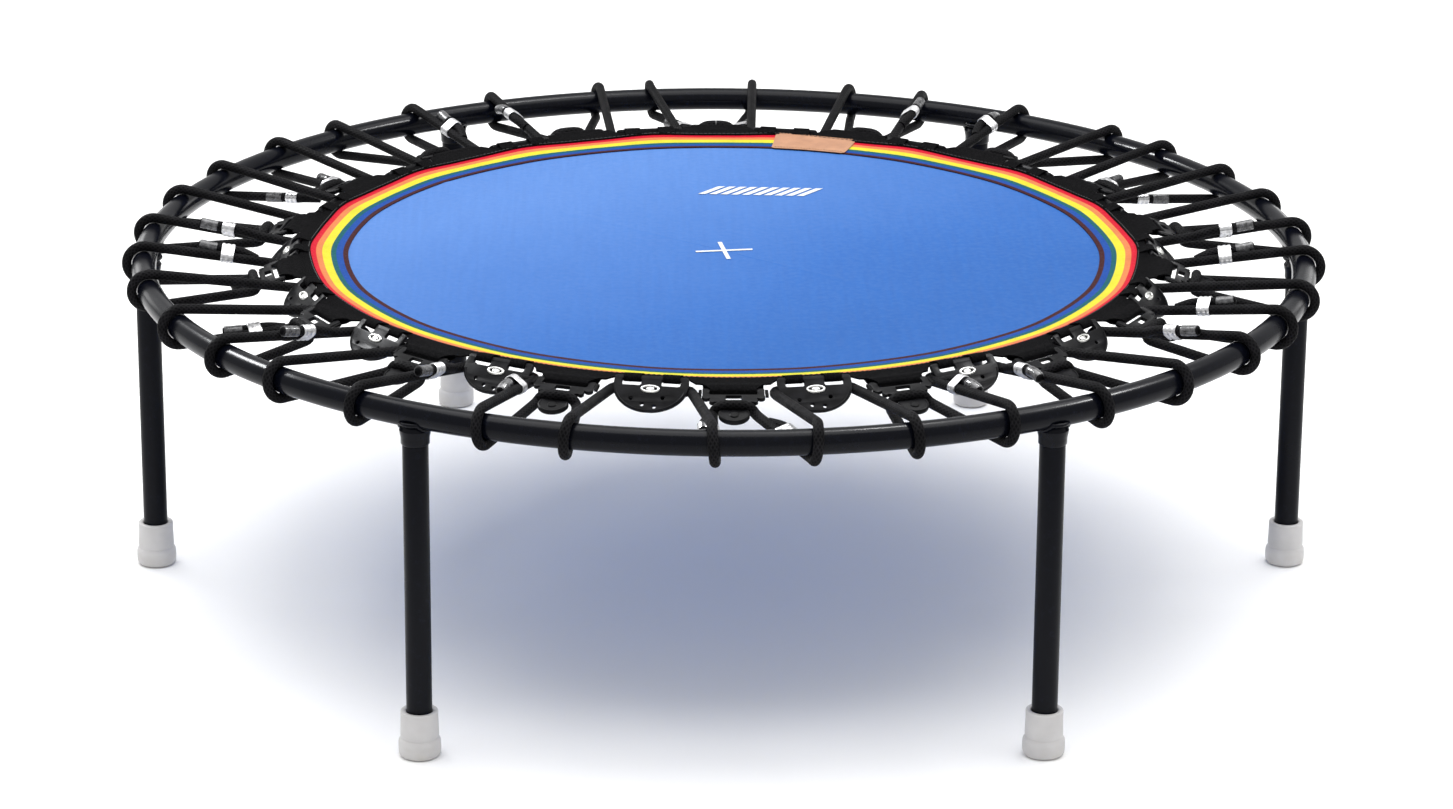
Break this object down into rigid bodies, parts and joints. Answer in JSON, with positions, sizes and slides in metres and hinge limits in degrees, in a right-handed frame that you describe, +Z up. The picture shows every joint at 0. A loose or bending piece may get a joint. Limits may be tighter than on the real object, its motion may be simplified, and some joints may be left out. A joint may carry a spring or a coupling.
{
  "type": "mini trampoline",
  "caption": "Round low trampoline: a steel ring on straight screw-in legs with rubber feet, holding a cloth mat by elastic rope laced through plastic plates round the mat's edge.",
  "frame": {"origin": "on the floor under the middle of the ring", "axes": "+Z up; legs at every 60 degrees from +X; the leather tag is on the +Y side"},
  "size_m": [1.2413, 1.2432, 0.3687],
  "materials": {
    "ring_paint": "gloss black paint",
    "leg_paint": "gloss black paint",
    "white_rubber": "matt off-white moulded rubber",
    "blue_cloth": "woven blue synthetic cloth",
    "rainbow_ribbon": "woven ribbon with coloured stripes",
    "black_webbing": "black woven webbing",
    "tan_leather": "tan leather, matt",
    "black_plate": "moulded black plastic, satin",
    "elastic_rope": "braided black cover over rubber"
  },
  "bodies": {
    "frame": {"ring_frame": "ring_paint", "elastic_rope_1": "elastic_rope", "elastic_rope_2": "elastic_rope", "elastic_rope_3": "elastic_rope", "elastic_rope_4": "elastic_rope", "elastic_rope_5": "elastic_rope", "elastic_rope_6": "elastic_rope"},
    "mat": {"jump_mat": "blue_cloth", "rainbow_ribbon": "rainbow_ribbon", "mat_border": "black_webbing", "leather_tag": "tan_leather", "half_round_plate_01": "black_plate", "half_round_plate_02": "black_plate", "half_round_plate_03": "black_plate", "half_round_plate_04": "black_plate", "half_round_plate_05": "black_plate", "half_round_plate_06": "black_plate", "half_round_plate_07": "black_plate", "half_round_plate_08": "black_plate", "half_round_plate_09": "black_plate", "half_round_plate_10": "black_plate", "half_round_plate_11": "black_plate", "half_round_plate_12": "black_plate", "half_round_plate_13": "black_plate", "half_round_plate_14": "black_plate", "half_round_plate_15": "black_plate", "half_round_plate_16": "black_plate", "half_round_plate_17": "black_plate", "half_round_plate_18": "black_plate", "anchor_plate_01": "black_plate", "anchor_plate_02": "black_plate", "anchor_plate_03": "black_plate", "anchor_plate_04": "black_plate", "anchor_plate_05": "black_plate", "anchor_plate_06": "black_plate", "anchor_plate_07": "black_plate", "anchor_plate_08": "black_plate", "anchor_plate_09": "black_plate", "anchor_plate_10": "black_plate", "anchor_plate_11": "black_plate", "anchor_plate_12": "black_plate", "anchor_plate_13": "black_plate", "anchor_plate_14": "black_plate", "anchor_plate_15": "black_plate", "anchor_plate_16": "black_plate", "anchor_plate_17": "black_plate", "anchor_plate_18": "black_plate"},
    "foot_1": {"rubber_foot_1": "white_rubber"},
    "leg_1": {"leg_tube_1": "leg_paint"},
    "foot_2": {"rubber_foot_2": "white_rubber"},
    "leg_2": {"leg_tube_2": "leg_paint"},
    "foot_3": {"rubber_foot_3": "white_rubber"},
    "leg_3": {"leg_tube_3": "leg_paint"},
    "foot_4": {"rubber_foot_4": "white_rubber"},
    "leg_4": {"leg_tube_4": "leg_paint"},
    "foot_5": {"rubber_foot_5": "white_rubber"},
    "leg_5": {"leg_tube_5": "leg_paint"},
    "foot_6": {"rubber_foot_6": "white_rubber"},
    "leg_6": {"leg_tube_6": "leg_paint"}
  },
  "joints": [
    {"name": "mat_bounce", "type": "slide", "parent": "frame", "child": "mat", "axis": [0, 0, 1], "range_m": [-0.12, 0.03], "stiffness_N_per_m": 7000, "springref_m": 0.00107, "deforming": ["elastic_rope_1", "elastic_rope_2", "elastic_rope_3", "elastic_rope_4", "elastic_rope_5", "elastic_rope_6"]},
    {"name": "leg_1_back_out", "type": "slide", "parent": "frame", "child": "foot_1", "axis": [0, 0, -1], "range_m": [0, 0.017]},
    {"name": "leg_1_unscrew", "type": "hinge", "parent": "foot_1", "child": "leg_1", "pos_m": [0.6, 0, 0.3], "axis": [0, 0, -1], "range_deg": [0, 3060]},
    {"name": "leg_2_back_out", "type": "slide", "parent": "frame", "child": "foot_2", "axis": [0, 0, -1], "range_m": [0, 0.017]},
    {"name": "leg_2_unscrew", "type": "hinge", "parent": "foot_2", "child": "leg_2", "pos_m": [0.3, 0.51962, 0.3], "axis": [0, 0, -1], "range_deg": [0, 3060]},
    {"name": "leg_3_back_out", "type": "slide", "parent": "frame", "child": "foot_3", "axis": [0, 0, -1], "range_m": [0, 0.017]},
    {"name": "leg_3_unscrew", "type": "hinge", "parent": "foot_3", "child": "leg_3", "pos_m": [-0.3, 0.51962, 0.3], "axis": [0, 0, -1], "range_deg": [0, 3060]},
    {"name": "leg_4_back_out", "type": "slide", "parent": "frame", "child": "foot_4", "axis": [0, 0, -1], "range_m": [0, 0.017]},
    {"name": "leg_4_unscrew", "type": "hinge", "parent": "foot_4", "child": "leg_4", "pos_m": [-0.6, 0, 0.3], "axis": [0, 0, -1], "range_deg": [0, 3060]},
    {"name": "leg_5_back_out", "type": "slide", "parent": "frame", "child": "foot_5", "axis": [0, 0, -1], "range_m": [0, 0.017]},
    {"name": "leg_5_unscrew", "type": "hinge", "parent": "foot_5", "child": "leg_5", "pos_m": [-0.3, -0.51962, 0.3], "axis": [0, 0, -1], "range_deg": [0, 3060]},
    {"name": "leg_6_back_out", "type": "slide", "parent": "frame", "child": "foot_6", "axis": [0, 0, -1], "range_m": [0, 0.017]},
    {"name": "leg_6_unscrew", "type": "hinge", "parent": "foot_6", "child": "leg_6", "pos_m": [0.3, -0.51962, 0.3], "axis": [0, 0, -1], "range_deg": [0, 3060]}
  ],
  "couplings": [
    {"joint": "leg_1_unscrew", "follows": "leg_1_back_out", "rad_per_m": 3141.6},
    {"joint": "leg_2_unscrew", "follows": "leg_2_back_out", "rad_per_m": 3141.6},
    {"joint": "leg_3_unscrew", "follows": "leg_3_back_out", "rad_per_m": 3141.6},
    {"joint": "leg_4_unscrew", "follows": "leg_4_back_out", "rad_per_m": 3141.6},
    {"joint": "leg_5_unscrew", "follows": "leg_5_back_out", "rad_per_m": 3141.6},
    {"joint": "leg_6_unscrew", "follows": "leg_6_back_out", "rad_per_m": 3141.6}
  ]
}
